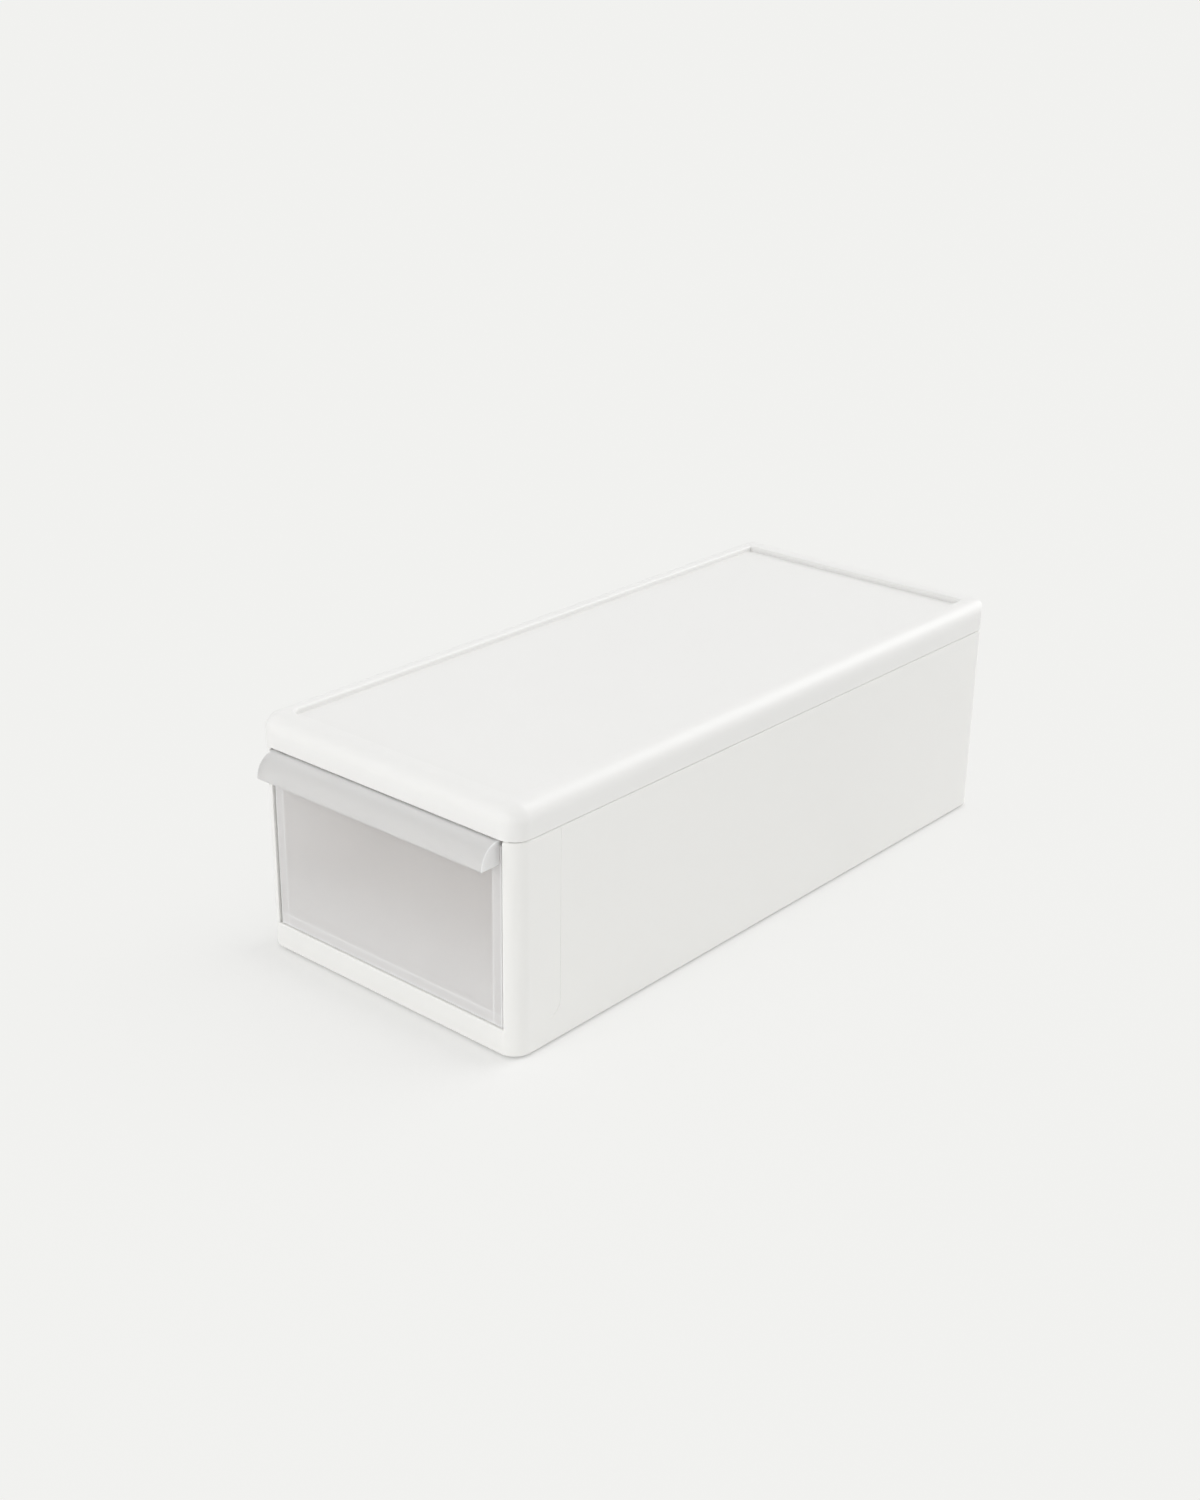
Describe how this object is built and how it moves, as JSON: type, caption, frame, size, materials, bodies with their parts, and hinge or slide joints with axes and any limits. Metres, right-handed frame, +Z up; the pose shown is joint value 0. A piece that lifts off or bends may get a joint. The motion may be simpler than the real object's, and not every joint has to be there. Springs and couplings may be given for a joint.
{
  "type": "stackable drawer box",
  "caption": "Long, low moulded drawer box with a clip-on cover recessed for stacking and one translucent pull-out drawer that opens by a full-width hooded finger lip.",
  "frame": {"origin": "bottom centre of the whole box with the lip, on the surface that it stands on", "axes": "+X to the right as seen from the front, +Y from the drawer front to the back, +Z up"},
  "size_m": [0.1808, 0.4192, 0.133],
  "materials": {
    "case_white": "satin white polypropylene, fine even texture",
    "cover_white": "satin white polypropylene, slightly smoother than the case",
    "drawer_frosted": "natural translucent polypropylene, frosted"
  },
  "bodies": {
    "case": {"case_body": "case_white", "top_cover": "cover_white"},
    "drawer_body": {"drawer": "drawer_frosted"}
  },
  "joints": [
    {"name": "drawer_slide", "type": "slide", "parent": "case", "child": "drawer_body", "axis": [0, -1, 0], "range_m": [0, 0.335]}
  ]
}
